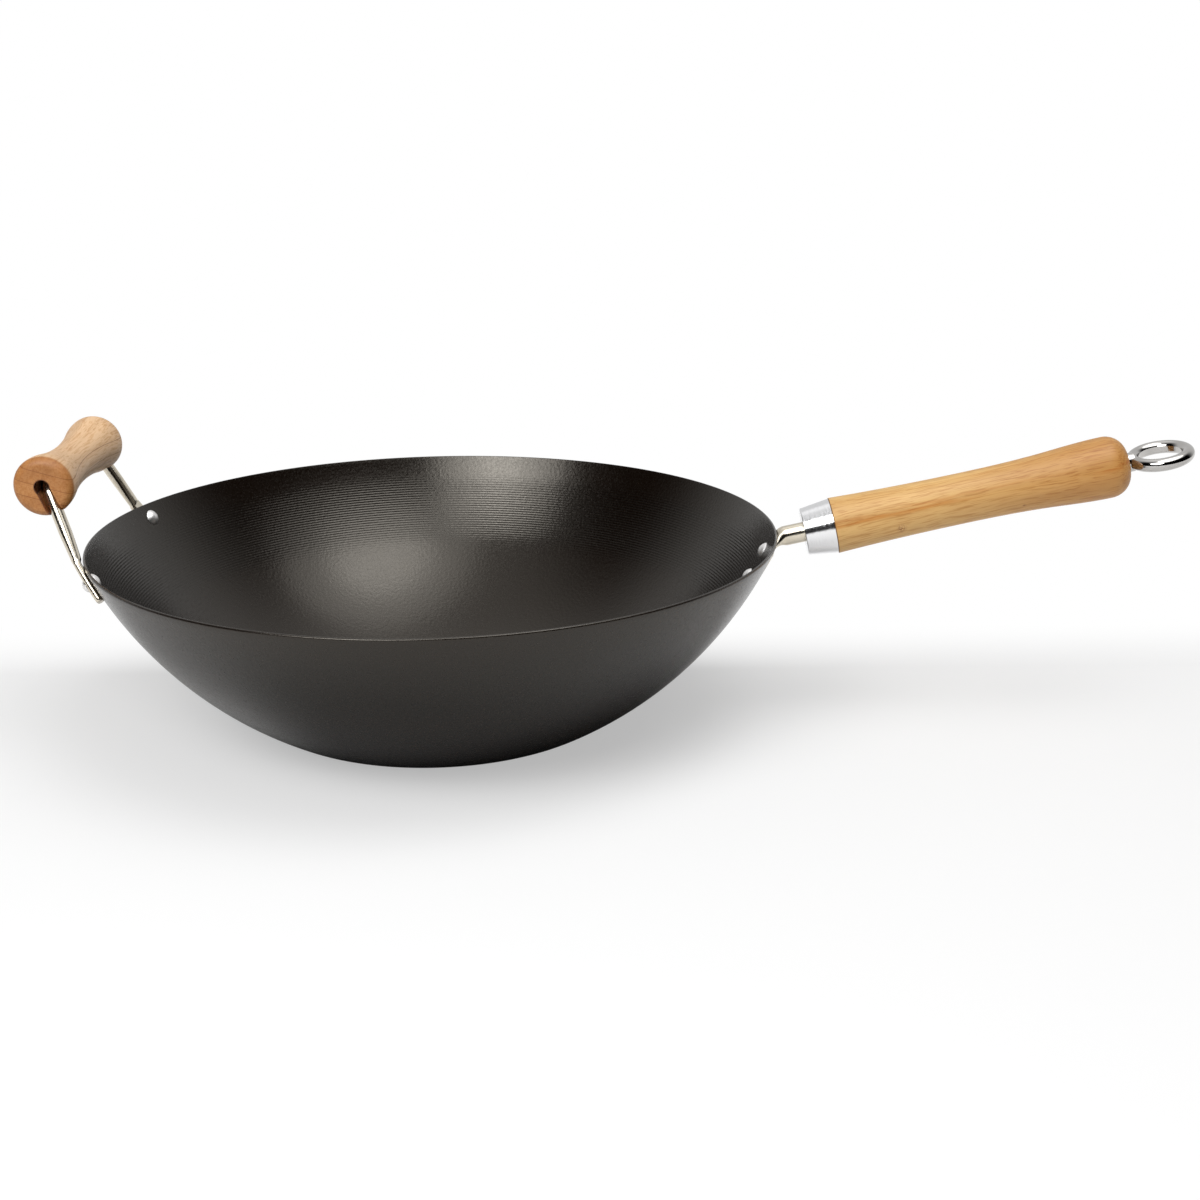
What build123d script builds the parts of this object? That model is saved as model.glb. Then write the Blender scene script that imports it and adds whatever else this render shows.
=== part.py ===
from build123d import *
import os
from math import acos, asin, atan2, cos, degrees, hypot, pi, radians, sin, sqrt, tan

# Flat-based carbon steel wok with a bamboo long handle and a bamboo helper handle.
# Millimetres. The origin is the centre of the base's underside, +Z is up, +X points along the long handle.

# One overrun serves every cut that has to run past a surface
overrun = 2.0

# Bowl: one spun sheet, a flat base, a corner arc and one large side arc up to the cut rim
rim_radius = 175.0
bowl_depth = 97.0
base_radius = 74.0
corner_radius = 36.0
side_radius = 197.5
sheet_thickness = 1.5
rim_edge_radius = 0.4

# Fit of what is riveted to the wall
wall_seat_gap = 0.05
shank_clearance = 0.1

# Rivets, with a broad dome inside the bowl and a smaller one outside
rivet_shank_radius = 2.1
rivet_head_radius = 4.3
rivet_head_height = 2.2
rivet_tail_radius = 3.3
rivet_tail_height = 1.7

# Long handle's rod: a tongue on the wall, a bend, the round rod and a thinner tang
upper_rivet_drop = 12.2
lower_rivet_drop = 25.8
tongue_width = 18.0
tongue_thickness = 3.0
tongue_margin = 7.5
tongue_corner_radius = 4.0
bend_drop = 8.6
rod_drop = 5.3
handle_slope = 12.0
rod_radius = 5.0
rod_socket_depth = 22.0
tang_radius = 3.0
tang_grip_in_eye = 10.0
rod_end_chamfer = 0.8
bend_section_count = 6

# Ferrule: a tapered aluminium cap
ferrule_start = 16.4
ferrule_length = 15.2
ferrule_small_radius = 12.0
ferrule_large_radius = 14.05
ferrule_wall = 1.2
ferrule_end_wall = 2.0
ferrule_edge_radius = 0.6
rod_clearance = 0.2

# Long grip: turned wood, waisted and swelling to a rounded end
grip_length = 151.3
grip_front_radius = 14.35
grip_waist_radius = 12.9
grip_shoulder_radius = 13.9
grip_swell_radius = 15.7
grip_face_radius = 5.8
grip_station_shares = [0.41, 0.71, 0.93]
grip_front_edge = 0.4
spigot_clearance = 0.2
tang_clearance = 0.3

# Hanging eye: a ring of round section with a flat land inside, a boss and a sleeve in the wood
eye_ring_radius = 13.6
eye_section_radius = 3.3
eye_bore_radius = 10.6
eye_gap_to_wood = 0.1
eye_turn = 4.0
boss_radius = 4.9
sleeve_radius = 4.4
sleeve_length = 14.0
tap_clearance = 0.1

# Helper handle's bail: one rod, bent through the spool, with a flat tab at each end
helper_overhang = 8.1
helper_rise = 37.1
helper_rivet_azimuth = 20.9
helper_rivet_drop = 7.8
bail_radius = 3.1
bail_half_span = 43.0
bail_bend_radius = 9.0
neck_length = 16.0
neck_width = 7.0
neck_thickness = 4.6
tab_width = 7.6
tab_thickness = 3.3
tab_above_rivet = 12.5
tab_below_rivet = 9.9
tab_slant = 28.0
tab_edge_radius = 1.3

# Helper spool: turned laminated wood, waisted, with a slot in each end for the bail's legs
spool_half_length = 51.5
spool_end_radius = 14.6
spool_waist_radius = 10.6
spool_edge_radius = 4.5
spool_waist_arc_share = 0.8
spool_bore_radius = 3.7
slot_width = 7.0
slot_depth = 15.0


def side_centre():
    """Centre of the side arc, which passes through the rim and touches the corner arc from outside."""
    across = rim_radius - base_radius
    up = bowl_depth - corner_radius
    gap = hypot(across, up)
    corner_distance = side_radius - corner_radius
    along = (corner_distance**2 - side_radius**2 + gap**2) / (2 * gap)
    aside = sqrt(corner_distance**2 - along**2)
    return (
        base_radius + (along * across - aside * up) / gap,
        corner_radius + (along * up + aside * across) / gap,
    )


centre_r, centre_z = side_centre()
corner_angle = degrees(atan2(base_radius - centre_r, centre_z - corner_radius))


def side_angle(drop):
    """The wall's slope in degrees, this far below the rim."""
    return degrees(acos((centre_z - bowl_depth + drop) / side_radius))


def side_point(drop, off=0):
    """Radius and height of the wall's outside this far below the rim, moved outward by off."""
    angle = radians(side_angle(drop))
    reach = side_radius + off
    return centre_r + reach * sin(angle), centre_z - reach * cos(angle)


def seat(azimuth, drop):
    """A plane on the wall's outside: local X round the bowl, Y up the wall, Z outward."""
    radius, height = side_point(drop)
    turn = radians(azimuth)
    slope = radians(side_angle(drop))
    outward = (sin(slope) * cos(turn), sin(slope) * sin(turn), -cos(slope))
    return Plane(
        origin=(radius * cos(turn), radius * sin(turn), height),
        x_dir=(-sin(turn), cos(turn), 0),
        z_dir=outward,
    )


def arc_point(radius, angle, centre=(0, 0)):
    """A point of an arc about a centre, with the angle taken up from straight down."""
    return centre[0] + radius * sin(radians(angle)), centre[1] - radius * cos(radians(angle))


def bowl():
    """Revolves the sheet's section and drills it for the four rivets."""
    side = (centre_r, centre_z)
    corner = (base_radius, corner_radius)
    inner_side = side_radius - sheet_thickness
    inner_corner = corner_radius - sheet_thickness
    rim_angle = side_angle(0)
    inner_rim_angle = degrees(acos((centre_z - bowl_depth) / inner_side))
    outer_rim = arc_point(side_radius, rim_angle, side)
    inner_rim = arc_point(inner_side, inner_rim_angle, side)
    with BuildPart() as part:
        with BuildSketch(Plane.XZ):
            with BuildLine():
                Line((0, 0), (base_radius, 0))
                ThreePointArc(
                    (base_radius, 0),
                    arc_point(corner_radius, corner_angle / 2, corner),
                    arc_point(corner_radius, corner_angle, corner),
                )
                ThreePointArc(
                    arc_point(corner_radius, corner_angle, corner),
                    arc_point(side_radius, (corner_angle + rim_angle) / 2, side),
                    outer_rim,
                )
                Line(outer_rim, inner_rim)
                ThreePointArc(
                    inner_rim,
                    arc_point(inner_side, (corner_angle + inner_rim_angle) / 2, side),
                    arc_point(inner_corner, corner_angle, corner),
                )
                ThreePointArc(
                    arc_point(inner_corner, corner_angle, corner),
                    arc_point(inner_corner, corner_angle / 2, corner),
                    (base_radius, sheet_thickness),
                )
                Line((base_radius, sheet_thickness), (0, sheet_thickness))
                Line((0, sheet_thickness), (0, 0))
            make_face()
        revolve(axis=Axis.Z)
        rim_edges = part.edges().filter_by(GeomType.CIRCLE).group_by(Axis.Z)[-1]
        fillet(rim_edges, rim_edge_radius)
    solid = part.part
    for place in rivet_places():
        hole = Cylinder(rivet_shank_radius + shank_clearance, 2 * (sheet_thickness + overrun))
        solid -= seat(*place) * hole
    return solid


def rivet_places():
    """Azimuth and drop of the four rivets: two on the long handle, one on each tab of the bail."""
    return [
        (0, upper_rivet_drop),
        (0, lower_rivet_drop),
        (180 + helper_rivet_azimuth, helper_rivet_drop),
        (180 - helper_rivet_azimuth, helper_rivet_drop),
    ]


def dome_shoulder(radius, height):
    """The point halfway down a dome of this radius and height, as (radius, distance below its top)."""
    dome_radius = (radius**2 + height**2) / (2 * height)
    half_turn = asin(radius / dome_radius) / 2
    return dome_radius * sin(half_turn), dome_radius * (1 - cos(half_turn))


def rivet(place, plate_thickness):
    """A rivet with its head inside the wall and its formed tail on the plate outside."""
    inside = -sheet_thickness - wall_seat_gap
    outside = plate_thickness + 2 * wall_seat_gap
    head_top = inside - rivet_head_height
    tail_top = outside + rivet_tail_height
    head_r, head_fall = dome_shoulder(rivet_head_radius, rivet_head_height)
    tail_r, tail_fall = dome_shoulder(rivet_tail_radius, rivet_tail_height)
    with BuildPart() as part:
        with BuildSketch(Plane.XZ):
            with BuildLine():
                Line((0, head_top), (0, tail_top))
                ThreePointArc((0, tail_top), (tail_r, tail_top - tail_fall), (rivet_tail_radius, outside))
                Line((rivet_tail_radius, outside), (rivet_shank_radius, outside))
                Line((rivet_shank_radius, outside), (rivet_shank_radius, inside))
                Line((rivet_shank_radius, inside), (rivet_head_radius, inside))
                ThreePointArc((rivet_head_radius, inside), (head_r, head_top + head_fall), (0, head_top))
            make_face()
        revolve(axis=Axis.Z)
    return seat(*place) * part.part


def wall_layer(inner, outer, top_drop, bottom_drop):
    """A skin round the wall, between two distances outward of it and two drops below the rim."""
    middle_drop = (top_drop + bottom_drop) / 2
    with BuildPart() as part:
        with BuildSketch(Plane.XZ):
            with BuildLine():
                ThreePointArc(
                    side_point(top_drop, inner), side_point(middle_drop, inner), side_point(bottom_drop, inner)
                )
                Line(side_point(bottom_drop, inner), side_point(bottom_drop, outer))
                ThreePointArc(
                    side_point(bottom_drop, outer), side_point(middle_drop, outer), side_point(top_drop, outer)
                )
                Line(side_point(top_drop, outer), side_point(top_drop, inner))
            make_face()
        revolve(axis=Axis.Z)
    return part.part


def handle_axis():
    """The long handle's axis: it leaves the wall at rod_drop, local Z along the handle, local X sideways."""
    radius, height = side_point(rod_drop)
    slope = radians(handle_slope)
    return Plane(origin=(radius, 0, height), x_dir=(0, 1, 0), z_dir=(cos(slope), 0, sin(slope)))


def turned(outline):
    """Revolves an outline of (radius, distance) corners about the long handle's axis."""
    with BuildPart() as part:
        with BuildSketch(Plane.XZ):
            with BuildLine():
                Polyline(*outline, close=True)
            make_face()
        revolve(axis=Axis.Z)
    return handle_axis() * part.part


def wood_start():
    """Distance along the long handle's axis from the wall to the ferrule's wide end."""
    return ferrule_start + ferrule_length


def rod_bend():
    """Sections of the bend, from the flat tongue to the round rod, and where the bend ends on the axis."""
    start_angle = side_angle(bend_drop)
    start_r, start_z = side_point(bend_drop, wall_seat_gap + tongue_thickness / 2)
    axis_r, axis_z = side_point(rod_drop)
    slope = tan(radians(handle_slope))
    heading = radians(start_angle)
    run = (axis_z - start_z + (start_r - axis_r) * slope) / (sin(heading) - cos(heading) * slope)
    bend_radius = run / tan(radians(start_angle - handle_slope) / 2)
    sections = []
    for index in range(bend_section_count):
        share = index / (bend_section_count - 1)
        angle = radians(start_angle + (handle_slope - start_angle) * share)
        origin = (
            start_r + bend_radius * (sin(heading) - sin(angle)),
            0,
            start_z + bend_radius * (cos(angle) - cos(heading)),
        )
        plane = Plane(origin=origin, x_dir=(0, 1, 0), z_dir=(cos(angle), 0, sin(angle)))
        growth = (1 - cos(pi * share)) / 2
        half_width = tongue_width / 2 + (rod_radius - tongue_width / 2) * growth
        half_height = tongue_thickness / 2 + (rod_radius - tongue_thickness / 2) * growth
        sections.append(plane * Ellipse(half_width, half_height))
    end_r = start_r + bend_radius * (sin(heading) - sin(radians(handle_slope)))
    return sections, (end_r - axis_r) / cos(radians(handle_slope))


def handle_rod():
    """Tongue, bend, round rod and tang in one piece, drilled for two rivets."""
    sections, rod_start = rod_bend()
    rod_end = wood_start() + rod_socket_depth
    tang_end = wood_start() + grip_length - sleeve_length + tang_grip_in_eye
    tongue_drop = lower_rivet_drop
    upper = Vector(*side_point(bend_drop)) - Vector(*side_point(tongue_drop))
    with BuildSketch() as outline:
        with Locations((0, (upper.length - tongue_margin) / 2)):
            RectangleRounded(tongue_width, upper.length + tongue_margin, tongue_corner_radius)
    blank = extrude(outline.sketch, tongue_thickness + overrun, both=True)
    lowest = lower_rivet_drop + 2 * tongue_margin
    tongue = (seat(0, tongue_drop) * blank) & wall_layer(
        wall_seat_gap, wall_seat_gap + tongue_thickness, -overrun, lowest
    )
    round_part = turned(
        [
            (0, rod_start),
            (rod_radius, rod_start),
            (rod_radius, rod_end - rod_end_chamfer),
            (rod_radius - rod_end_chamfer, rod_end),
            (tang_radius, rod_end),
            (tang_radius, tang_end - rod_end_chamfer),
            (tang_radius - rod_end_chamfer, tang_end),
            (0, tang_end),
        ]
    )
    bend = loft(sections) - wall_layer(-2 * rod_radius, wall_seat_gap, -overrun, lowest)
    solid = bend + round_part + tongue
    for drop in (upper_rivet_drop, lower_rivet_drop):
        hole = Cylinder(rivet_shank_radius + shank_clearance, 2 * (tongue_thickness + overrun))
        solid -= seat(0, drop) * hole
    return solid


def handle_ferrule():
    """A tapered cup whose end wall the rod passes through."""
    taper = (ferrule_large_radius - ferrule_small_radius) / ferrule_length
    inner_small = ferrule_small_radius + taper * ferrule_end_wall - ferrule_wall
    inner_large = ferrule_large_radius - ferrule_wall
    end = wood_start()
    solid = turned(
        [
            (rod_radius + rod_clearance, ferrule_start),
            (ferrule_small_radius, ferrule_start),
            (ferrule_large_radius, end),
            (inner_large, end),
            (inner_small, ferrule_start + ferrule_end_wall),
            (rod_radius + rod_clearance, ferrule_start + ferrule_end_wall),
        ]
    )
    along = Axis(handle_axis().origin, handle_axis().z_dir)
    outer_edge = solid.edges().filter_by(GeomType.CIRCLE).sort_by(along)[:2].sort_by(SortBy.RADIUS)[-1]
    return fillet(outer_edge, ferrule_edge_radius)


def handle_grip():
    """Turned wood with a spigot inside the ferrule and a bore in three steps."""
    taper = (ferrule_large_radius - ferrule_small_radius) / ferrule_length
    start = wood_start()
    end = start + grip_length
    spigot_start = ferrule_start + ferrule_end_wall + spigot_clearance
    spigot_large = ferrule_large_radius - ferrule_wall - spigot_clearance
    spigot_small = spigot_large - taper * (start - spigot_start)
    radii = [grip_waist_radius, grip_shoulder_radius, grip_swell_radius]
    stations = [(r, start + share * grip_length) for r, share in zip(radii, grip_station_shares)]
    front = (grip_front_radius, start + grip_front_edge)
    front_slope = (2 * (grip_waist_radius - grip_front_radius), stations[0][1] - start)
    with BuildPart() as part:
        with BuildSketch(Plane.XZ):
            with BuildLine():
                Line((0, spigot_start), (spigot_small, spigot_start))
                Line((spigot_small, spigot_start), (spigot_large, start))
                Line((spigot_large, start), (grip_front_radius - grip_front_edge, start))
                Line((grip_front_radius - grip_front_edge, start), front)
                Spline(front, *stations, tangents=[front_slope, (0, 1)])
                EllipticalCenterArc(
                    (grip_face_radius, stations[-1][1]),
                    grip_swell_radius - grip_face_radius,
                    end - stations[-1][1],
                    arc_size=degrees(pi / 2),
                )
                Line((grip_face_radius, end), (0, end))
                Line((0, end), (0, spigot_start))
            make_face()
        revolve(axis=Axis.Z)
    solid = handle_axis() * part.part
    rod_bore = rod_radius + rod_clearance
    tang_bore = tang_radius + tang_clearance
    sleeve_bore = sleeve_radius + tang_clearance
    bore = turned(
        [
            (0, spigot_start - overrun),
            (rod_bore, spigot_start - overrun),
            (rod_bore, start + rod_socket_depth + rod_clearance),
            (tang_bore, start + rod_socket_depth + rod_clearance),
            (tang_bore, end - sleeve_length - tang_clearance),
            (sleeve_bore, end - sleeve_length - tang_clearance),
            (sleeve_bore, end + overrun),
            (0, end + overrun),
        ]
    )
    return solid - bore


def hanging_eye():
    """Ring, boss against the wood's end and tapped sleeve, turned about the handle's axis."""
    end = wood_start() + grip_length + eye_gap_to_wood
    ring_centre = end + eye_ring_radius + eye_section_radius
    across = handle_axis()
    ring_plane = Plane(
        origin=across.from_local_coords((0, 0, ring_centre)), x_dir=across.z_dir, z_dir=across.y_dir
    )
    with BuildPart() as part:
        with BuildSketch(Plane.XZ):
            with Locations((eye_ring_radius, 0)):
                Circle(eye_section_radius)
            with Locations((eye_bore_radius, 0)):
                Rectangle(
                    2 * eye_section_radius,
                    2 * eye_section_radius,
                    align=(Align.MAX, Align.CENTER),
                    mode=Mode.SUBTRACT,
                )
        revolve(axis=Axis.Z)
    ring = ring_plane * part.part
    sleeve_start = end - sleeve_length
    body = turned(
        [
            (0, sleeve_start),
            (sleeve_radius, sleeve_start),
            (sleeve_radius, end),
            (boss_radius, end),
            (boss_radius, end + eye_section_radius),
            (0, end + eye_section_radius + boss_radius / 2),
        ]
    )
    tap_depth = tang_grip_in_eye + tap_clearance + rod_end_chamfer
    tap = turned(
        [
            (0, sleeve_start - overrun),
            (tang_radius + tap_clearance, sleeve_start - overrun),
            (tang_radius + tap_clearance, sleeve_start + tap_depth),
            (0, sleeve_start + tap_depth),
        ]
    )
    solid = ring + body - tap
    return solid.rotate(Axis(across.origin, across.z_dir), eye_turn)


def helper_axis():
    """The spool's axis: local Z along +Y, local X square to it and towards the tabs."""
    reach = rim_radius + helper_overhang
    height = bowl_depth + helper_rise
    top = tab_plane(1).from_local_coords(tab_top())
    return Plane(origin=(-reach, 0, height), x_dir=(top.X + reach, 0, top.Z - height), z_dir=(0, 1, 0))


def tab_plane(side):
    """The seat of the tab on the far side (1) or the near side (-1), with local Y towards the tab's top."""
    place = seat(180 - side * helper_rivet_azimuth, helper_rivet_drop)
    lean = radians(side * tab_slant)
    x_dir = place.x_dir * cos(lean) - place.y_dir * sin(lean)
    return Plane(origin=place.origin, x_dir=x_dir, z_dir=place.z_dir)


def tab_top():
    """Where the neck meets the tab, in the tab's plane: their outer sides are flush."""
    return 0, tab_above_rivet, tab_thickness - neck_thickness / 2


def tab(side):
    """A flat tab that follows the wall, with its long edges still round from the rod."""
    plane = tab_plane(side)
    length = tab_above_rivet + tab_below_rivet
    with BuildSketch() as outline:
        with Locations((0, (tab_above_rivet - tab_below_rivet) / 2)):
            Rectangle(tab_width, length)
    blank = extrude(outline.sketch, tab_thickness + overrun, both=True)
    highest = helper_rivet_drop - 2 * tab_above_rivet
    lowest = helper_rivet_drop + 2 * tab_below_rivet
    solid = (plane * blank) & wall_layer(wall_seat_gap, wall_seat_gap + tab_thickness, highest, lowest)
    long_edges = [edge for edge in solid.edges() if edge.length > (tab_width + length) / 2]
    return fillet(long_edges, tab_edge_radius)


def helper_bail():
    """Two tabs, two legs and the rod through the spool in one piece, drilled for two rivets."""
    reach = rim_radius + helper_overhang
    height = bowl_depth + helper_rise
    corners = {side: Vector(-reach, side * bail_half_span, height) for side in (-1, 1)}
    tops = {side: tab_plane(side).from_local_coords(tab_top()) for side in (-1, 1)}
    starts = {}
    solid = None
    for side in (-1, 1):
        leg = (corners[side] - tops[side]).normalized()
        starts[side] = tops[side] + leg * neck_length
        tab_up = tab_plane(side).y_dir
        flat_section = Plane(origin=tops[side], x_dir=tab_plane(side).x_dir, z_dir=tab_up) * Ellipse(
            neck_width / 2, neck_thickness / 2
        )
        round_section = Plane(origin=starts[side], x_dir=tab_plane(side).x_dir, z_dir=leg) * Circle(bail_radius)
        piece = loft([flat_section, round_section]) + tab(side)
        solid = piece if solid is None else solid + piece
    path = FilletPolyline(starts[-1], corners[-1], corners[1], starts[1], radius=bail_bend_radius)
    first = Plane(origin=starts[-1], z_dir=path % 0)
    solid += sweep(first * Circle(bail_radius), path=path)
    for side in (-1, 1):
        hole = Cylinder(rivet_shank_radius + shank_clearance, 2 * (tab_thickness + overrun))
        solid -= tab_plane(side) * hole
    return solid


def helper_grip():
    """Turned spool, bored for the rod and slotted at both ends for the legs."""
    rise = spool_end_radius - spool_waist_radius
    crest = spool_half_length - spool_edge_radius
    arcs = (crest**2 + rise**2) / (2 * rise)
    waist_arc = arcs * spool_waist_arc_share
    join_r = spool_waist_radius + rise * spool_waist_arc_share
    join_z = crest * spool_waist_arc_share
    half_turn = asin(join_z / waist_arc) / 2
    waist_mid = (spool_waist_radius + waist_arc * (1 - cos(half_turn)), waist_arc * sin(half_turn))
    end_arc = arcs - waist_arc
    end_mid = (spool_end_radius - end_arc * (1 - cos(half_turn)), crest - end_arc * sin(half_turn))
    half_right = sqrt(2) / 2
    edge_mid = (
        spool_end_radius - spool_edge_radius * (1 - half_right),
        crest + spool_edge_radius * half_right,
    )
    with BuildPart() as part:
        with BuildSketch(Plane.XZ):
            with BuildLine():
                ThreePointArc((spool_waist_radius, 0), waist_mid, (join_r, join_z))
                ThreePointArc((join_r, join_z), end_mid, (spool_end_radius, crest))
                ThreePointArc(
                    (spool_end_radius, crest), edge_mid, (spool_end_radius - spool_edge_radius, spool_half_length)
                )
                Line((spool_end_radius - spool_edge_radius, spool_half_length), (0, spool_half_length))
                mirror(about=Plane.XZ)
                Line((0, spool_half_length), (0, -spool_half_length))
            make_face()
        revolve(axis=Axis.Z)
        Cylinder(spool_bore_radius, 2 * (spool_half_length + overrun), mode=Mode.SUBTRACT)
        for side in (-1, 1):
            with Locations((spool_end_radius / 2 + overrun, 0, side * (spool_half_length + overrun - slot_depth / 2))):
                Box(spool_end_radius + 2 * overrun, slot_width, slot_depth + 2 * overrun, mode=Mode.SUBTRACT)
    return helper_axis() * part.part


os.makedirs("parts", exist_ok=True)
upper_place, lower_place, near_place, far_place = rivet_places()
nodes = {
    "bowl": bowl(),
    "handle_rod": handle_rod(),
    "handle_rivet_upper": rivet(upper_place, tongue_thickness),
    "handle_rivet_lower": rivet(lower_place, tongue_thickness),
    "handle_ferrule": handle_ferrule(),
    "handle_grip": handle_grip(),
    "hanging_eye": hanging_eye(),
    "helper_bail": helper_bail(),
    "helper_grip": helper_grip(),
    "helper_rivet_near": rivet(near_place, tab_thickness),
    "helper_rivet_far": rivet(far_place, tab_thickness),
}
for name, solid in nodes.items():
    export_step(solid, f"parts/{name}.step")
    print(name, round(solid.volume))
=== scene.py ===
from math import acos, cos, degrees, pi, radians, sin, tan

import bpy
from mathutils import Matrix


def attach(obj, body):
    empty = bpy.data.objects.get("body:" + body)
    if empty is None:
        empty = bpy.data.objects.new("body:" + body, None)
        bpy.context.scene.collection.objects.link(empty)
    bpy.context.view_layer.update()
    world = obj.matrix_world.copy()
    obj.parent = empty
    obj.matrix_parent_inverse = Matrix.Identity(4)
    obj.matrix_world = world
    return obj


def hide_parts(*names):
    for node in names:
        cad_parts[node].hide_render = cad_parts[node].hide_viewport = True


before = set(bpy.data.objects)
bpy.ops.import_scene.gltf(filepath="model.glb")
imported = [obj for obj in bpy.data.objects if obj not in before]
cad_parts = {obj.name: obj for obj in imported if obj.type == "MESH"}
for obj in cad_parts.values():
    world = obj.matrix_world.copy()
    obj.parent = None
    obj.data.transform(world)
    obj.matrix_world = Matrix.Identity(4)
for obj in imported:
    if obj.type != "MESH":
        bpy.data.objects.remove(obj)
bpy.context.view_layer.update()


# Bowl: one disc of carbon steel, spun over a former to a flat base and a flaring side, trimmed at the rim,
# with the cut edges eased, and given a dark baked coating. The spinning tool leaves fine rings inside, in
# a belt below the rim, and the grooves between them are darkened with painted shade.
mm = 0.001
rim_height = 97.0
base_radius = 74.0
base_ring_count = 4
corner_radius = 36.0
corner_turn = 29.6
side_radius = 197.5
side_centre = (-5.8443, 176.382)
sheet_thickness = 1.5
rim_outer_round = 0.9
rim_inner_round = 0.3
corner_step_count = 10
side_step_count = 40
edge_step_count = 6
ring_pitch = 1.476
ring_height = 0.07
# The belt of rings starts, is full, starts to fade and has ended this far down the wall from the rim.
ring_belt = [8.0, 20.0, 44.0, 60.0]
above_belt_step_count = 4
points_per_ring = 6
bowl_segment_count = 180
merge_distance = 0.002
smooth_angle = radians(35)


def arc(centre, radius, start, end, count):
    """Points of an arc, with its angles in degrees up from straight down."""
    points = []
    for step in range(count + 1):
        turn = radians(start + (end - start) * step / count)
        points.append((centre[0] + radius * sin(turn), centre[1] - radius * cos(turn)))
    return points


def turned(name, outline, segment_count):
    """Draws an outline of (radius, height) in millimetres as one run of edges and spins it about Z."""
    bpy.ops.object.select_all(action="DESELECT")
    start = outline[0]
    bpy.ops.mesh.primitive_plane_add(size=mm, location=(start[0] * mm, 0, start[1] * mm))
    piece = bpy.context.object
    piece.name = name
    piece.data.name = name
    bpy.ops.object.transform_apply(location=True, rotation=True, scale=True)
    bpy.ops.object.mode_set(mode="EDIT")
    bpy.ops.mesh.select_all(action="SELECT")
    bpy.ops.mesh.merge(type="CENTER")
    for here, there in zip(outline, outline[1:]):
        step = ((there[0] - here[0]) * mm, 0, (there[1] - here[1]) * mm)
        bpy.ops.mesh.extrude_region_move(TRANSFORM_OT_translate={"value": step})
    bpy.ops.mesh.select_all(action="SELECT")
    bpy.ops.mesh.spin(steps=segment_count, angle=2 * pi, center=(0, 0, 0), axis=(0, 0, 1))
    bpy.ops.mesh.select_all(action="SELECT")
    bpy.ops.mesh.remove_doubles(threshold=merge_distance * mm)
    bpy.ops.mesh.normals_make_consistent(inside=False)
    bpy.ops.object.mode_set(mode="OBJECT")
    bpy.ops.object.shade_smooth_by_angle(angle=smooth_angle)
    return piece


def smooth_share(value, low, high):
    """Rises smoothly from 0 at low to 1 at high."""
    share = min(1, max(0, (value - low) / (high - low)))
    return share * share * (3 - 2 * share)


def ringed_side(top_turn):
    """The inside of the wall from the rim down, with the rings that the spinning tool leaves."""
    inner_radius = side_radius - sheet_thickness
    belt_top = top_turn - degrees(ring_belt[0] / inner_radius)
    points = arc(side_centre, inner_radius, top_turn, belt_top, above_belt_step_count)[:-1]
    for step in range(int((ring_belt[3] - ring_belt[0]) / ring_pitch * points_per_ring) + 1):
        down = ring_belt[0] + step * ring_pitch / points_per_ring
        turn = top_turn - degrees(down / inner_radius)
        risen = smooth_share(down, ring_belt[0], ring_belt[1])
        faded = smooth_share(down, ring_belt[2], ring_belt[3])
        height = ring_height * (risen - faded) * (1 - cos(2 * pi * step / points_per_ring)) / 2
        points.append(arc(side_centre, inner_radius - height, turn, turn, 1)[0])
    return points + arc(side_centre, inner_radius, turn, corner_turn, side_step_count)[1:]


def rim_turn(radius):
    """Where an arc about the side's centre reaches the rim's height, in degrees up from straight down."""
    return degrees(acos((side_centre[1] - rim_height) / radius))


def rim_outline(outer_turn, inner_turn):
    """The cut edge at the rim, rounded to the outside and eased inside."""
    outer_back = rim_outer_round / tan(radians(outer_turn) / 2)
    inner_back = rim_inner_round * tan(radians(inner_turn) / 2)
    outer_r = side_centre[0] + side_radius * sin(radians(outer_turn)) - outer_back
    inner_r = side_centre[0] + (side_radius - sheet_thickness) * sin(radians(inner_turn)) + inner_back
    outer_centre = (outer_r, rim_height - rim_outer_round)
    inner_centre = (inner_r, rim_height - rim_inner_round)
    points = arc(outer_centre, rim_outer_round, outer_turn, 180, edge_step_count)
    points += arc(inner_centre, rim_inner_round, 180, 180 + inner_turn, edge_step_count)
    eased = (outer_turn - degrees(outer_back / side_radius), inner_turn - degrees(inner_back / side_radius))
    return points, eased


rim_turns = (rim_turn(side_radius), rim_turn(side_radius - sheet_thickness))
rim_points, (outer_top, inner_top) = rim_outline(*rim_turns)
corner_centre = (base_radius, corner_radius)
inner_corner_radius = corner_radius - sheet_thickness
bowl_outline = [(base_radius * ring / base_ring_count, 0) for ring in range(base_ring_count)]
bowl_outline += arc(corner_centre, corner_radius, 0, corner_turn, corner_step_count)
bowl_outline += arc(side_centre, side_radius, corner_turn, outer_top, side_step_count)[1:-1]
bowl_outline += rim_points
bowl_outline += ringed_side(inner_top)[1:]
bowl_outline += arc(corner_centre, inner_corner_radius, corner_turn, 0, corner_step_count)[1:]
bowl_outline += [
    (base_radius * ring / base_ring_count, sheet_thickness) for ring in range(base_ring_count - 1, -1, -1)
]
bowl = turned("bowl_shell", bowl_outline, bowl_segment_count)


def finish_named(name):
    """A new node material: its nodes, its links and its Principled shader."""
    material = bpy.data.materials.new(name)
    material.use_nodes = True
    nodes = material.node_tree.nodes
    return material, nodes, material.node_tree.links, nodes["Principled BSDF"]


def noise_of(nodes, links, vector, scale, detail):
    """Noise on a given vector."""
    noise = nodes.new("ShaderNodeTexNoise")
    noise.inputs["Scale"].default_value = scale
    noise.inputs["Detail"].default_value = detail
    links.new(vector, noise.inputs["Vector"])
    return noise.outputs["Fac"]


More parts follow.
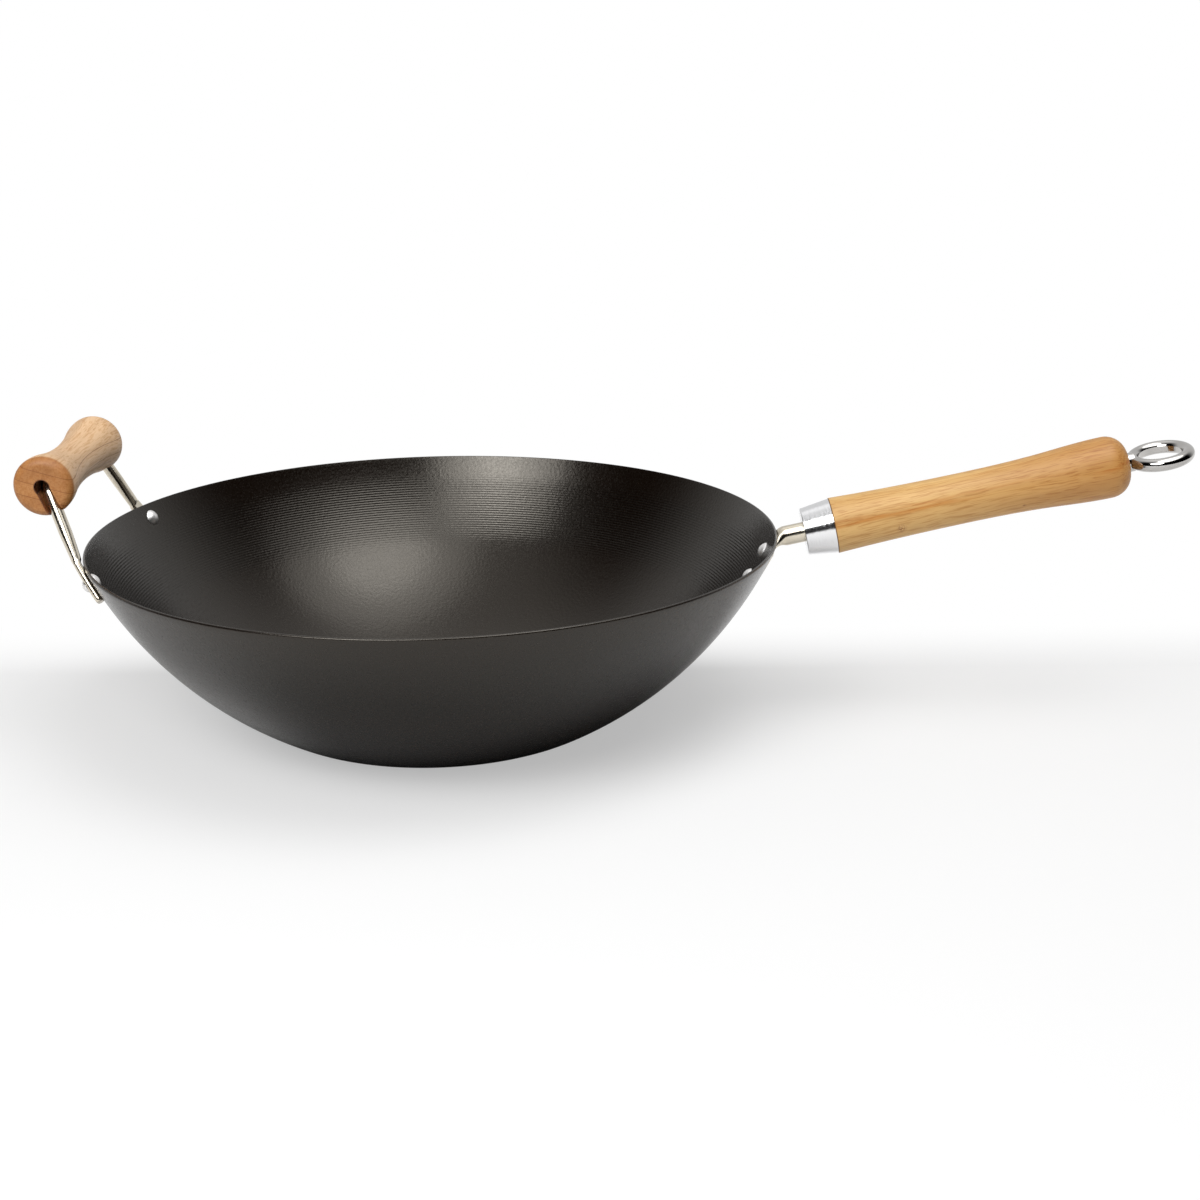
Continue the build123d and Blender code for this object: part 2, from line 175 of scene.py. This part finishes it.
def ramp_of(nodes, links, factor, stops):
    """Colours spread along a factor from 0 to 1, by stops of (share, colour)."""
    ramp = nodes.new("ShaderNodeValToRGB")
    elements = ramp.color_ramp.elements
    for index, (share, colour) in enumerate(stops):
        element = elements[index] if index < 2 else elements.new(share)
        element.position = share
        element.color = (*colour, 1)
    links.new(factor, ramp.inputs["Fac"])
    return ramp.outputs["Color"]


def roughened(nodes, links, factor, stops, shader):
    """Varies the roughness along a factor from 0 to 1, by stops of (share, roughness)."""
    greys = [(share, (rough, rough, rough)) for share, rough in stops]
    links.new(ramp_of(nodes, links, factor, greys), shader.inputs["Roughness"])


def bump_of(nodes, links, height, depth, strength, shader):
    """Raises the surface by a height field, with its depth in metres."""
    bump = nodes.new("ShaderNodeBump")
    bump.inputs["Strength"].default_value = strength
    bump.inputs["Distance"].default_value = depth
    links.new(height, bump.inputs["Height"])
    links.new(bump.outputs["Normal"], shader.inputs["Normal"])


def worked(nodes, links, operation, first, second=0):
    """A Math node on one or two values, each a socket or a number."""
    node = nodes.new("ShaderNodeMath")
    node.operation = operation
    for slot, value in zip(node.inputs, (first, second)):
        if isinstance(value, (int, float)):
            slot.default_value = value
        else:
            links.new(value, slot)
    return node.outputs["Value"]


def spread(nodes, links, value, low, high):
    """Rises smoothly from 0 where the value is low to 1 where it is high."""
    node = nodes.new("ShaderNodeMapRange")
    node.interpolation_type = "SMOOTHSTEP"
    node.inputs["From Min"].default_value = low
    node.inputs["From Max"].default_value = high
    links.new(value, node.inputs["Value"])
    return node.outputs["Result"]


def parts_of(nodes, links, vector):
    """The X, Y and Z of a vector."""
    node = nodes.new("ShaderNodeSeparateXYZ")
    links.new(vector, node.inputs["Vector"])
    return node.outputs["X"], node.outputs["Y"], node.outputs["Z"]


def stretched(nodes, links, vector, scale):
    """A vector with each of its directions scaled."""
    mapping = nodes.new("ShaderNodeMapping")
    mapping.inputs["Scale"].default_value = scale
    links.new(vector, mapping.inputs["Vector"])
    return mapping.outputs["Vector"]


def length_of(nodes, links, vector):
    """The length of a vector."""
    node = nodes.new("ShaderNodeVectorMath")
    node.operation = "LENGTH"
    links.new(vector, node.inputs[0])
    return node.outputs["Value"]


def stained_or_shaded(nodes, links, colour, mask, stain):
    """Multiplies a colour where the mask is 1, by a real stain in some places and by painted shade in
    others.
    """
    mix = nodes.new("ShaderNodeMix")
    mix.data_type = "RGBA"
    mix.blend_type = "MULTIPLY"
    links.new(mask, mix.inputs["Factor"])
    links.new(colour, mix.inputs["A"])
    mix.inputs["B"].default_value = (*stain, 1)
    return mix.outputs["Result"]


coat_tones = [(0.1, (0.0037, 0.0018, 0.0009)), (0.9, (0.0054, 0.0027, 0.0014))]
coat_roughness = [(0.35, 0.19), (0.65, 0.28)]
coat_ior = 1.52
coat_gloss_tint = (1.0, 0.94, 0.84, 1)
coat_grain_depth = 0.15 * mm
# Painted shade: the coat's colour is multiplied by this in the grooves between the rings.
groove_painted_shade = (0.40, 0.40, 0.40)
coat, nodes, links, shader = finish_named("baked_black_coat")
place = nodes.new("ShaderNodeTexCoord").outputs["Object"]
from_axis = length_of(nodes, links, stretched(nodes, links, place, (1, 1, 0)))
out = worked(nodes, links, "SUBTRACT", from_axis, side_centre[0] * mm)
under = worked(nodes, links, "SUBTRACT", side_centre[1] * mm, parts_of(nodes, links, place)[2])
turn = worked(nodes, links, "ARCTAN2", out, under)
down = worked(nodes, links, "SUBTRACT", radians(inner_top), turn)
down = worked(nodes, links, "MULTIPLY", down, side_radius - sheet_thickness)
into_belt = worked(nodes, links, "SUBTRACT", down, ring_belt[0])
phase = worked(nodes, links, "MULTIPLY", into_belt, 2 * pi / ring_pitch)
# Painted shade mask: 1 in each groove of the belt, 0 on each crest.
groove_shade = spread(nodes, links, worked(nodes, links, "COSINE", phase), -1, 1)
risen = spread(nodes, links, down, ring_belt[0], ring_belt[1])
unfaded = spread(nodes, links, down, ring_belt[3], ring_belt[2])
belt = worked(nodes, links, "MULTIPLY", risen, unfaded)
groove_shade = worked(nodes, links, "MULTIPLY", groove_shade, belt)
patches = noise_of(nodes, links, place, scale=28, detail=3)
colour = ramp_of(nodes, links, patches, coat_tones)
links.new(stained_or_shaded(nodes, links, colour, groove_shade, groove_painted_shade), shader.inputs["Base Color"])
roughened(nodes, links, noise_of(nodes, links, place, scale=1000, detail=2), coat_roughness, shader)
shader.inputs["IOR"].default_value = coat_ior
shader.inputs["Specular Tint"].default_value = coat_gloss_tint
grain = noise_of(nodes, links, place, scale=600, detail=2)
bump_of(nodes, links, grain, coat_grain_depth, 0.5, shader)
bowl.data.materials.append(coat)
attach(bowl, "root")
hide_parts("bowl")


# Long handle's rod: one 10 mm steel rod, hammered to a tongue at the bowl's end, bent out into the handle
# and nickel plated. The tongue lies on the wall under two rivets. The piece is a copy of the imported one
# with its facets worn smooth.
plate_tones = [(0.3, (0.67, 0.605, 0.49)), (0.7, (0.75, 0.69, 0.58))]
plate_roughness = [(0.3, 0.15), (0.7, 0.20)]
forging_voxel = 0.3
forging_swell = 0.11
forging_smooth_count = 32
plate, nodes, links, shader = finish_named("nickel_plate")
place = nodes.new("ShaderNodeTexCoord").outputs["Object"]
shader.inputs["Metallic"].default_value = 1
wear = noise_of(nodes, links, place, scale=160, detail=4)
links.new(ramp_of(nodes, links, wear, plate_tones), shader.inputs["Base Color"])
roughened(nodes, links, wear, plate_roughness, shader)


def smooth_copy(name, node):
    """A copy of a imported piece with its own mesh, its facets worn to one smooth surface."""
    bpy.ops.object.select_all(action="DESELECT")
    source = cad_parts[node]
    source.select_set(True)
    bpy.context.view_layer.objects.active = source
    bpy.ops.object.duplicate()
    piece = bpy.context.object
    piece.name = name
    piece.data.name = name
    bpy.ops.object.mode_set(mode="EDIT")
    bpy.ops.mesh.select_all(action="SELECT")
    bpy.ops.mesh.remove_doubles(threshold=merge_distance * mm)
    bpy.ops.object.mode_set(mode="OBJECT")
    bpy.ops.object.modifier_add(type="REMESH")
    piece.modifiers[-1].mode = "VOXEL"
    piece.modifiers[-1].voxel_size = forging_voxel * mm
    bpy.ops.object.modifier_apply(modifier=piece.modifiers[-1].name)
    bpy.ops.object.modifier_add(type="DISPLACE")
    piece.modifiers[-1].mid_level = 0
    piece.modifiers[-1].strength = forging_swell * mm
    bpy.ops.object.modifier_apply(modifier=piece.modifiers[-1].name)
    bpy.ops.object.modifier_add(type="SMOOTH")
    piece.modifiers[-1].iterations = forging_smooth_count
    bpy.ops.object.modifier_apply(modifier=piece.modifiers[-1].name)
    bpy.ops.object.shade_smooth()
    piece.data.materials.clear()
    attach(piece, "root")
    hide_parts(node)
    return piece


rod = smooth_copy("plated_rod", "handle_rod")
rod.data.materials.append(plate)


# Rivets: four solid aluminium rivets, set cold, with a broad satin dome inside the bowl. Two hold the long
# handle's tongue and one holds each tab of the helper handle.
def dressed(node, material):
    """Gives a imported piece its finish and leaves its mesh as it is."""
    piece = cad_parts[node]
    piece.data.materials.clear()
    piece.data.materials.append(material)


rivet_colour = (0.88, 0.87, 0.86, 1)
rivet_roughness = [(0.3, 0.36), (0.7, 0.48)]
rivet_metal, nodes, links, shader = finish_named("satin_aluminium")
place = nodes.new("ShaderNodeTexCoord").outputs["Object"]
shader.inputs["Metallic"].default_value = 1
shader.inputs["Base Color"].default_value = rivet_colour
roughened(nodes, links, noise_of(nodes, links, place, scale=900, detail=3), rivet_roughness, shader)
for name in ("handle_rivet_upper", "handle_rivet_lower", "helper_rivet_near", "helper_rivet_far"):
    dressed(name, rivet_metal)


# Ferrule: a cup pressed from aluminium sheet, polished bright with fine marks across its length. It caps
# the wood's front end, and the rod goes through it.
ferrule_colour = (0.86, 0.86, 0.87, 1)
ferrule_roughness = [(0.3, 0.12), (0.7, 0.20)]
ferrule_mark_depth = 0.18 * mm
handle_slope = 12.0
handle_origin = (172.58 * mm, 0, 91.70 * mm)
handle_turn = (0, radians(90 - handle_slope), 0)


def own_place(nodes, links, origin, turn):
    """Object coordinates taken to a piece's own axis, with Z along it."""
    mapping = nodes.new("ShaderNodeMapping")
    mapping.vector_type = "TEXTURE"
    mapping.inputs["Location"].default_value = origin
    mapping.inputs["Rotation"].default_value = turn
    links.new(nodes.new("ShaderNodeTexCoord").outputs["Object"], mapping.inputs["Vector"])
    return mapping.outputs["Vector"]


ferrule_metal, nodes, links, shader = finish_named("polished_aluminium")
place = own_place(nodes, links, handle_origin, handle_turn)
shader.inputs["Metallic"].default_value = 1
shader.inputs["Base Color"].default_value = ferrule_colour
marks = noise_of(nodes, links, stretched(nodes, links, place, (0.3, 0.3, 1)), scale=900, detail=3)
roughened(nodes, links, marks, ferrule_roughness, shader)
bump_of(nodes, links, marks, ferrule_mark_depth, 0.4, shader)
dressed("handle_ferrule", ferrule_metal)


# Long grip: bamboo strips glued side by side, turned to a waist and a rounded end, sanded and oiled. The
# wood shows its fibres as fine wavy streaks, a browner streak along the side, and marks where a node was.
tone_shares = [0.28, 0.50, 0.72]
strip_tone_share = 0.25
sway_reach = 3 * mm
fibre_stain = (0.82, 0.70, 0.55)
bundle_stain = (0.86, 0.78, 0.66)
glue_line_width = 0.25 * mm


def swayed(nodes, links, place, scale, reach):
    """A place moved a little by slow noise, so that what follows it isn't straight."""
    noise = nodes.new("ShaderNodeTexNoise")
    noise.inputs["Scale"].default_value = scale
    noise.inputs["Detail"].default_value = 2
    links.new(place, noise.inputs["Vector"])
    move = nodes.new("ShaderNodeVectorMath")
    move.operation = "MULTIPLY_ADD"
    move.inputs[1].default_value = (reach, reach, 0)
    links.new(noise.outputs["Color"], move.inputs[0])
    links.new(place, move.inputs[2])
    return move.outputs["Vector"]


def bamboo(nodes, links, place, strips, tones, glue, shown):
    """Colour and fibre height of glued bamboo strips, with their fibres along Z of the place.

    The strips are their width, turn, shift and the first and last that the piece is cut from. The dark
    fibres are shown by a share from 0 to 1.
    """
    width, turn, shift, first, last = strips
    laid = nodes.new("ShaderNodeMapping")
    laid.inputs["Rotation"].default_value = (0, 0, turn)
    laid.inputs["Scale"].default_value = (1 / width, 1 / width, 1 / width)
    links.new(place, laid.inputs["Vector"])
    across = worked(nodes, links, "ADD", parts_of(nodes, links, laid.outputs["Vector"])[1], shift)
    across = worked(nodes, links, "MINIMUM", across, last + 0.5)
    across = worked(nodes, links, "MAXIMUM", across, first + 0.5)
    strip = nodes.new("ShaderNodeTexWhiteNoise")
    strip.noise_dimensions = "1D"
    links.new(worked(nodes, links, "FLOOR", across), strip.inputs["W"])
    share = worked(nodes, links, "FRACT", across)
    edge = worked(nodes, links, "ABSOLUTE", worked(nodes, links, "SUBTRACT", share, 0.5))
    wavy = swayed(nodes, links, place, 40, sway_reach)
    broad = noise_of(nodes, links, stretched(nodes, links, wavy, (1, 1, 0.07)), scale=150, detail=3)
    broad_tone = worked(nodes, links, "MULTIPLY", broad, 1 - strip_tone_share)
    strip_tone = worked(nodes, links, "MULTIPLY", strip.outputs["Value"], strip_tone_share)
    tone = worked(nodes, links, "ADD", broad_tone, strip_tone)
    colour = ramp_of(nodes, links, tone, zip(tone_shares, tones))
    streaks = noise_of(nodes, links, stretched(nodes, links, wavy, (1, 1, 0.045)), scale=1300, detail=3)
    marked = worked(nodes, links, "MULTIPLY", spread(nodes, links, streaks, 0.52, 0.34), shown)
    colour = stained_or_shaded(nodes, links, colour, marked, fibre_stain)
    bundles = nodes.new("ShaderNodeTexVoronoi")
    bundles.inputs["Scale"].default_value = 1400
    links.new(stretched(nodes, links, place, (1, 1, 0.04)), bundles.inputs["Vector"])
    dots = spread(nodes, links, bundles.outputs["Distance"], 0.34, 0.12)
    colour = stained_or_shaded(nodes, links, colour, worked(nodes, links, "MULTIPLY", dots, shown), bundle_stain)
    glued = spread(nodes, links, edge, 0.5 - glue_line_width / width, 0.5)
    return stained_or_shaded(nodes, links, colour, glued, glue), streaks


handle_wood_start = 31.6 * mm
grip_tones = [(0.53, 0.300, 0.098), (0.62, 0.375, 0.132), (0.69, 0.450, 0.180)]
grip_strips = (12.5 * mm, 0, 0.36, -1, 1)
grip_glue = (0.80, 0.66, 0.50)
grip_streak_middle = -3.5 * mm
grip_streak_half_width = 3.2 * mm
grip_streak_stain = (0.86, 0.62, 0.36)
grip_marks = [
    ((0.0, -14.2 * mm, 36.9 * mm), 0.8 * mm),
    ((5.6 * mm, -12.0 * mm, 64.6 * mm), 3.6 * mm),
    ((7.5 * mm, -11.2 * mm, 127.0 * mm), 1.4 * mm),
]
grip_mark_stain = (0.42, 0.26, 0.16)
grip_swell_start = handle_wood_start + 40 * mm
grip_swell_full = handle_wood_start + 140 * mm
grip_swell_stain = (0.78, 0.64, 0.48)
grip_joint_start = handle_wood_start + 0.7 * mm
grip_joint_full = handle_wood_start + 0.2 * mm
grip_joint_stain = (0.22, 0.15, 0.10)
grip_roughness = 0.46
grip_fibre_depth = 0.25 * mm
grip_wood, nodes, links, shader = finish_named("bamboo_long_grip")
place = own_place(nodes, links, handle_origin, handle_turn)
colour, streaks = bamboo(nodes, links, place, grip_strips, grip_tones, grip_glue, 1)
down, aside, along = parts_of(nodes, links, place)
from_middle = worked(nodes, links, "ABSOLUTE", worked(nodes, links, "SUBTRACT", down, grip_streak_middle))
breaks = noise_of(nodes, links, stretched(nodes, links, place, (1, 1, 0.04)), scale=420, detail=4)
band = spread(nodes, links, from_middle, grip_streak_half_width, 0)
band = worked(nodes, links, "MULTIPLY", band, spread(nodes, links, breaks, 0.46, 0.60))
colour = stained_or_shaded(nodes, links, colour, band, grip_streak_stain)
for point, reach in grip_marks:
    distance = nodes.new("ShaderNodeVectorMath")
    distance.operation = "DISTANCE"
    distance.inputs[1].default_value = point
    links.new(place, distance.inputs[0])
    crossed = spread(nodes, links, noise_of(nodes, links, place, scale=1100, detail=3), 0.40, 0.60)
    mark = spread(nodes, links, distance.outputs["Value"], reach, 0)
    mark = worked(nodes, links, "MULTIPLY", mark, crossed)
    colour = stained_or_shaded(nodes, links, colour, mark, grip_mark_stain)
swell = spread(nodes, links, along, grip_swell_start, grip_swell_full)
colour = stained_or_shaded(nodes, links, colour, swell, grip_swell_stain)
joint = spread(nodes, links, along, grip_joint_start, grip_joint_full)
colour = stained_or_shaded(nodes, links, colour, joint, grip_joint_stain)
links.new(colour, shader.inputs["Base Color"])
shader.inputs["Roughness"].default_value = grip_roughness
bump_of(nodes, links, streaks, grip_fibre_depth, 0.3, shader)
dressed("handle_grip", grip_wood)


# Hanging eye: a cast ring with a boss, chromed, screwed on the rod's thread against the wood. It holds the
# wood and the ferrule on the rod.
chrome_colour = (0.53, 0.515, 0.495, 1)
chrome_roughness = [(0.3, 0.05), (0.7, 0.10)]
chrome, nodes, links, shader = finish_named("chrome")
shader.inputs["Metallic"].default_value = 1
shader.inputs["Base Color"].default_value = chrome_colour
place = nodes.new("ShaderNodeTexCoord").outputs["Object"]
roughened(nodes, links, noise_of(nodes, links, place, scale=200, detail=3), chrome_roughness, shader)
dressed("hanging_eye", chrome)


# Helper handle's bail: one nickel plated steel rod, bent through the spool, with both ends hammered to flat
# tabs whose long edges stay round. Each tab lies on the wall under one rivet.
bail = smooth_copy("plated_bail", "helper_bail")
bail.data.materials.append(plate)


# Helper spool: bamboo strips glued in a block, turned to a waist, bored for the rod and slotted at both ends
# for its legs. The ends soaked up more oil, and are browner. The bore and the slots get painted shade.
spool_axis = (-183.1 * mm, 0, 134.1 * mm)
spool_turn = (radians(-90), 0, 0)
spool_strips = (6.5 * mm, radians(-16), 0.077, -2, 1)
spool_tones = [(0.62, 0.395, 0.215), (0.745, 0.495, 0.285), (0.81, 0.57, 0.355)]
spool_glue = (0.52, 0.36, 0.24)
spool_end_start = 46.6 * mm
spool_end_full = 48.6 * mm
spool_end_stain = (0.57, 0.375, 0.19)
spool_end_fading = 0.3
spool_speck_stain = (0.91, 0.84, 0.72)
spool_bore_radius = 3.7 * mm
spool_bore_rim = 0.6 * mm
spool_bore_painted_shade = (0.25, 0.15, 0.10)
spool_slot_half = 3.5 * mm
spool_slot_margin = 0.2 * mm
spool_slot_start = 36.0 * mm
spool_slot_turn = radians(68)
spool_slot_painted_shade = (0.55, 0.38, 0.24)
spool_roughness = 0.5
spool_fibre_depth = 0.2 * mm
spool_wood, nodes, links, shader = finish_named("bamboo_spool")
place = own_place(nodes, links, spool_axis, spool_turn)
faced = nodes.new("ShaderNodeMapping")
faced.inputs["Rotation"].default_value = (0, 0, -spool_slot_turn)
links.new(place, faced.inputs["Vector"])
towards_tabs, aside, along = parts_of(nodes, links, faced.outputs["Vector"])
out = worked(nodes, links, "ABSOLUTE", along)
end_grain = spread(nodes, links, out, spool_end_start, spool_end_full)
shown = worked(nodes, links, "SUBTRACT", 1, worked(nodes, links, "MULTIPLY", end_grain, spool_end_fading))
colour, streaks = bamboo(nodes, links, place, spool_strips, spool_tones, spool_glue, shown)
colour = stained_or_shaded(nodes, links, colour, end_grain, spool_end_stain)
specks = spread(nodes, links, noise_of(nodes, links, place, scale=650, detail=3), 0.46, 0.60)
specks = worked(nodes, links, "MULTIPLY", specks, end_grain)
colour = stained_or_shaded(nodes, links, colour, specks, spool_speck_stain)
from_axis = length_of(nodes, links, stretched(nodes, links, place, (1, 1, 0)))
# Painted shade inside the bore, fading out just past its edge.
bore_shade = spread(nodes, links, from_axis, spool_bore_radius + spool_bore_rim, spool_bore_radius)
colour = stained_or_shaded(nodes, links, colour, bore_shade, spool_bore_painted_shade)
# Painted shade in the slots, on their half towards the tabs.
from_slot = worked(nodes, links, "ABSOLUTE", aside)
slot_shade = spread(nodes, links, from_slot, spool_slot_half + spool_slot_margin, spool_slot_half)
slot_shade = worked(nodes, links, "MULTIPLY", slot_shade, spread(nodes, links, towards_tabs, 0, 1 * mm))
slotted = worked(nodes, links, "GREATER_THAN", out, spool_slot_start)
slot_shade = worked(nodes, links, "MULTIPLY", slot_shade, slotted)
colour = stained_or_shaded(nodes, links, colour, slot_shade, spool_slot_painted_shade)
links.new(colour, shader.inputs["Base Color"])
shader.inputs["Roughness"].default_value = spool_roughness
bump_of(nodes, links, streaks, spool_fibre_depth, 0.3, shader)
dressed("helper_grip", spool_wood)


# Floor, world, lamps and camera. The floor is a wide pale disc that fades to plain white away from the
# object, and keeps the object's shadow. In reflections it has a painted shadow just in front of the bowl.
floor_radius = 9.0
floor_segment_count = 96
floor_grey = 0.80
floor_painted_shadow = 0.58
floor_roughness = 0.9
floor_own_light = 0.45
front_turn = radians(20)
bpy.ops.object.select_all(action="DESELECT")
bpy.ops.mesh.primitive_circle_add(
    vertices=floor_segment_count, radius=floor_radius, fill_type="NGON", location=(0, 0, 0)
)
floor = bpy.context.object
floor.name = "floor"
floor_paint, nodes, links, shader = finish_named("pale_floor")
shader.inputs["Roughness"].default_value = floor_roughness
shader.inputs["Specular IOR Level"].default_value = 0
place = nodes.new("ShaderNodeTexCoord").outputs["Object"]
distance = length_of(nodes, links, place)
far = spread(nodes, links, distance, 0.35, 1.3)
behind = spread(nodes, links, parts_of(nodes, links, place)[1], -0.01, 0.14)
rays = nodes.new("ShaderNodeLightPath")
heading = nodes.new("ShaderNodeVectorMath")
heading.operation = "NORMALIZE"
links.new(place, heading.inputs[0])
frontward = nodes.new("ShaderNodeVectorMath")
frontward.operation = "DOT_PRODUCT"
frontward.inputs[1].default_value = (sin(front_turn), -cos(front_turn), 0)
links.new(heading.outputs["Vector"], frontward.inputs[0])
# Painted shadow: seen only in reflections, the floor's colour is lowered close in front of the bowl.
close = spread(nodes, links, distance, 0.26, 0.06)
painted_shadow = worked(nodes, links, "MULTIPLY", close, spread(nodes, links, frontward.outputs["Value"], 0.15, 0.75))
painted_shadow = worked(nodes, links, "MULTIPLY", painted_shadow, rays.outputs["Is Glossy Ray"])
grey = worked(nodes, links, "SUBTRACT", floor_grey, worked(nodes, links, "MULTIPLY", painted_shadow, floor_painted_shadow))
links.new(grey, shader.inputs["Base Color"])


def seen_rays(nodes, links, rays):
    """1 for rays that show the background: from the camera, off a gloss, or through glass."""
    first = worked(nodes, links, "MAXIMUM", rays.outputs["Is Camera Ray"], rays.outputs["Is Glossy Ray"])
    return worked(nodes, links, "MAXIMUM", first, rays.outputs["Is Transmission Ray"])


background = worked(nodes, links, "MAXIMUM", far, behind)
background = worked(nodes, links, "MULTIPLY", background, seen_rays(nodes, links, rays))
near = worked(nodes, links, "MULTIPLY", rays.outputs["Is Camera Ray"], floor_own_light)
share = worked(nodes, links, "MAXIMUM", background, near)
white = nodes.new("ShaderNodeEmission")
blend = nodes.new("ShaderNodeMixShader")
links.new(share, blend.inputs["Fac"])
links.new(shader.outputs["BSDF"], blend.inputs[1])
links.new(white.outputs["Emission"], blend.inputs[2])
links.new(blend.outputs["Shader"], nodes["Material Output"].inputs["Surface"])
floor.data.materials.append(floor_paint)

room_grey = (0.25, 0.25, 0.25, 1)
behind_light = 0.71
above_light = 0.82
world = bpy.data.worlds.new("studio")
bpy.context.scene.world = world
world.use_nodes = True
nodes = world.node_tree.nodes
links = world.node_tree.links
room = nodes["Background"]
room.inputs["Color"].default_value = room_grey
direction = parts_of(nodes, links, nodes.new("ShaderNodeTexCoord").outputs["Generated"])
behind = worked(nodes, links, "MULTIPLY", spread(nodes, links, direction[1], -0.033, 0.643), behind_light)
above = worked(nodes, links, "MULTIPLY", spread(nodes, links, direction[2], 0.674, 1.0), above_light)
reflected = worked(nodes, links, "ADD", behind, above)
rays = nodes.new("ShaderNodeLightPath")
shown = worked(nodes, links, "MAXIMUM", reflected, rays.outputs["Is Camera Ray"])
backdrop = nodes.new("ShaderNodeBackground")
links.new(shown, backdrop.inputs["Color"])
pick = nodes.new("ShaderNodeMixShader")
links.new(seen_rays(nodes, links, rays), pick.inputs["Fac"])
links.new(room.outputs["Background"], pick.inputs[1])
links.new(backdrop.outputs["Background"], pick.inputs[2])
links.new(pick.outputs["Shader"], nodes["World Output"].inputs["Surface"])

lamp_aim_height = 60 * mm


def soft_lamp(name, azimuth, elevation, distance, width, height, power, centre_share, centre_power):
    """An oval soft lamp with a brighter centre that looks at the bowl.

    Azimuth 0 is the camera's side and 90 the long handle's.
    """
    front = (name + "_front", distance, 1, power)
    centre = (name + "_centre", distance - mm, centre_share, centre_power)
    for label, reach, size_share, watts in (front, centre):
        bpy.ops.object.light_add(type="AREA")
        light = bpy.context.object
        light.name = label
        light.data.shape = "ELLIPSE"
        light.data.size = width * size_share
        light.data.size_y = height * size_share
        light.data.energy = watts
        light.matrix_world = (
            Matrix.Translation((0, 0, lamp_aim_height))
            @ Matrix.Rotation(radians(azimuth), 4, "Z")
            @ Matrix.Rotation(radians(90 - elevation), 4, "X")
            @ Matrix.Translation((0, 0, reach))
        )


soft_lamp(
    "soft_lamp_left", azimuth=-24.5, elevation=41.9, distance=1.6, width=1.226, height=0.869,
    power=15.4, centre_share=0.413, centre_power=2.73,
)
soft_lamp(
    "soft_lamp_above", azimuth=52.5, elevation=69.2, distance=1.5, width=1.759, height=1.23,
    power=8.75, centre_share=0.488, centre_power=4.27,
)

camera_place = (0.0841, -0.9190, 0.3447)
camera_elevation = 17.243
camera_roll = -0.491
camera_lens = 55.77
camera_sensor_width = 36
bpy.ops.object.camera_add()
camera = bpy.context.object
camera.name = "camera"
camera.data.lens = camera_lens
camera.data.sensor_width = camera_sensor_width
camera.matrix_world = (
    Matrix.Translation(camera_place)
    @ Matrix.Rotation(radians(90 - camera_elevation), 4, "X")
    @ Matrix.Rotation(radians(camera_roll), 4, "Z")
)
bpy.context.scene.camera = camera
bpy.context.scene.view_settings.view_transform = "Standard"
